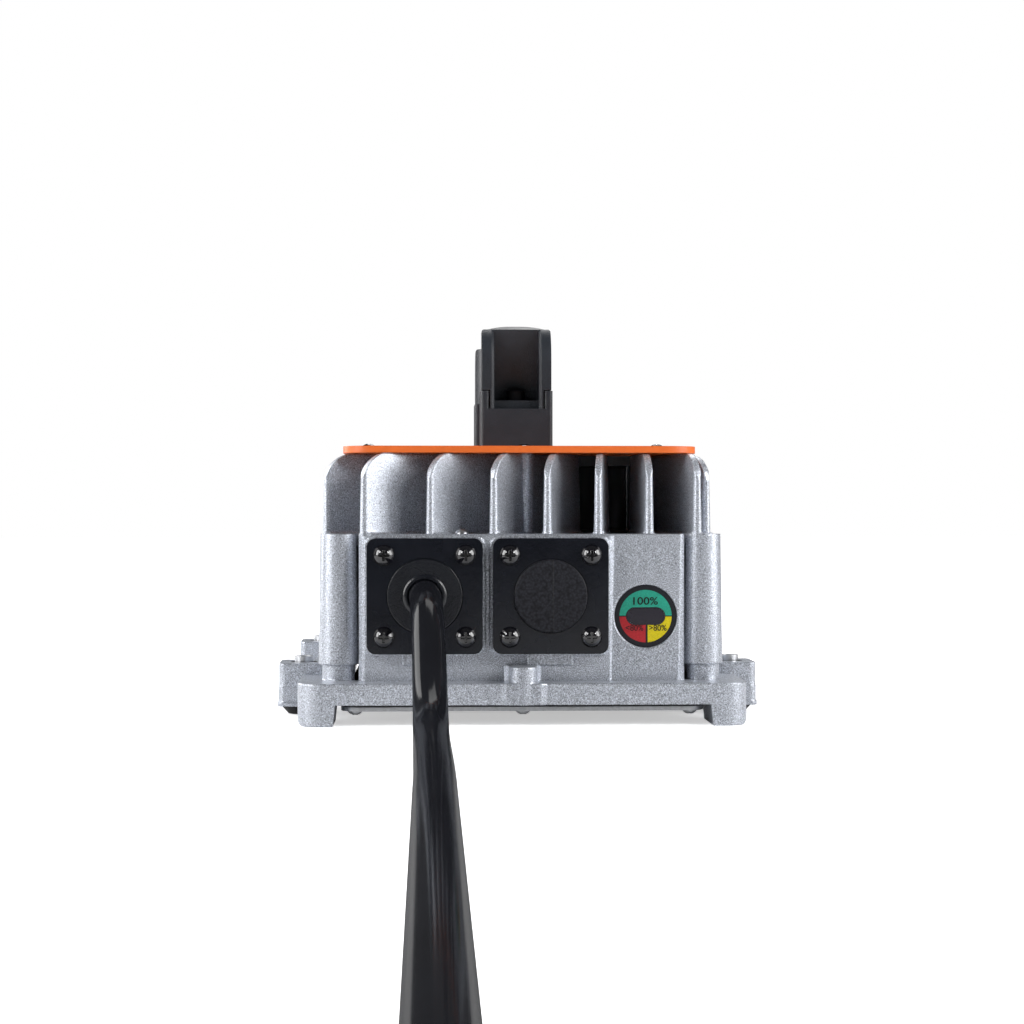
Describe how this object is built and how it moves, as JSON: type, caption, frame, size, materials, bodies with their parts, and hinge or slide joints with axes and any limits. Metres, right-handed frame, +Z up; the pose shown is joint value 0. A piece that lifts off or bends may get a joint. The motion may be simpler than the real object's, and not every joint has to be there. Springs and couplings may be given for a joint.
{
  "type": "lithium battery charger",
  "caption": "Fan cooled battery charger: finned die cast housing, sheet cover with carry handle, charge gauge, blanked outlet, and a thick output lead with a battery plug.",
  "frame": {"origin": "middle of the housing's footprint, on the surface it stands on", "axes": "+Z up, the face with the gauge and the lead looks along -Y, +X to the right of that face"},
  "size_m": [0.3055, 1.0393, 0.1764],
  "materials": {
    "cast_aluminium": "fine blasted die cast surface",
    "cover_metal": "plain mill finish",
    "orange_sheet": "satin powder coat",
    "handle_plastic": "fine spark texture",
    "gloss_black": "smooth moulding",
    "soft_rubber": "pebbled moulding",
    "gasket": "plain",
    "black_screw": "black oxide",
    "steel": "zinc plated",
    "dial_black": "printed film",
    "dial_green": "printed film",
    "dial_red": "printed film",
    "dial_yellow": "printed film",
    "window": "smoked lens",
    "lamp": "clear epoxy",
    "board": "solder mask",
    "fan_plastic": "satin moulding",
    "copper": "enamelled wire",
    "ferrite": "sintered",
    "capacitor_sleeve": "shrink sleeve",
    "moulded_black": "plain moulding",
    "relay_case": "plain moulding",
    "ceramic": "glazed",
    "terminal_green": "plain moulding",
    "wire": "insulated wire",
    "lead_sheath": "smooth glossy sheath",
    "plug_plastic": "plain moulding",
    "contact_metal": "silver plated"
  },
  "bodies": {
    "charger": {"housing": "cast_aluminium", "base_gasket": "gasket", "base_cover": "cover_metal", "base_cover_screws": "steel", "top_plate": "orange_sheet", "top_plate_screws": "black_screw", "handle_grip": "handle_plastic", "handle_front_foot": "handle_plastic", "handle_rear_foot": "handle_plastic", "handle_foot_screws": "steel", "handle_grip_screws": "black_screw", "lead_flange": "gloss_black", "lead_flange_gasket": "gasket", "lead_flange_screws": "black_screw", "lead_grommet": "soft_rubber", "blank_flange": "gloss_black", "blank_flange_gasket": "gasket", "blank_flange_screws": "black_screw", "blank_bung": "soft_rubber", "gauge_dial": "dial_black", "gauge_green_field": "dial_green", "gauge_red_field": "dial_red", "gauge_yellow_field": "dial_yellow", "gauge_window": "window", "gauge_lamps": "lamp", "gauge_board": "board", "rubber_feet": "soft_rubber", "foot_sleeves": "steel", "deck_screw": "steel", "fan_frame": "fan_plastic", "fan_stator": "copper", "fan_screws": "black_screw", "main_board": "board", "main_board_screws": "steel", "control_board": "board", "transformer_core": "ferrite", "transformer_winding": "copper", "storage_choke": "copper", "filter_choke": "copper", "bulk_capacitors": "capacitor_sleeve", "output_capacitors": "capacitor_sleeve", "power_transistors": "moulded_black", "transistor_bar": "cover_metal", "relay": "relay_case", "fuse": "ceramic", "terminal_block": "terminal_green", "inner_wires": "wire", "lead": "lead_sheath", "lead_coil": "lead_sheath", "lead_tail": "lead_sheath", "plug_shell": "plug_plastic", "plug_contacts": "contact_metal", "coil_tie": "moulded_black"},
    "fan": {"fan_rotor": "fan_plastic"}
  },
  "joints": [
    {"name": "fan_spin", "type": "hinge", "parent": "charger", "child": "fan", "pos_m": [0, 0, 0.0965], "axis": [0, 0, 1], "continuous": true}
  ]
}
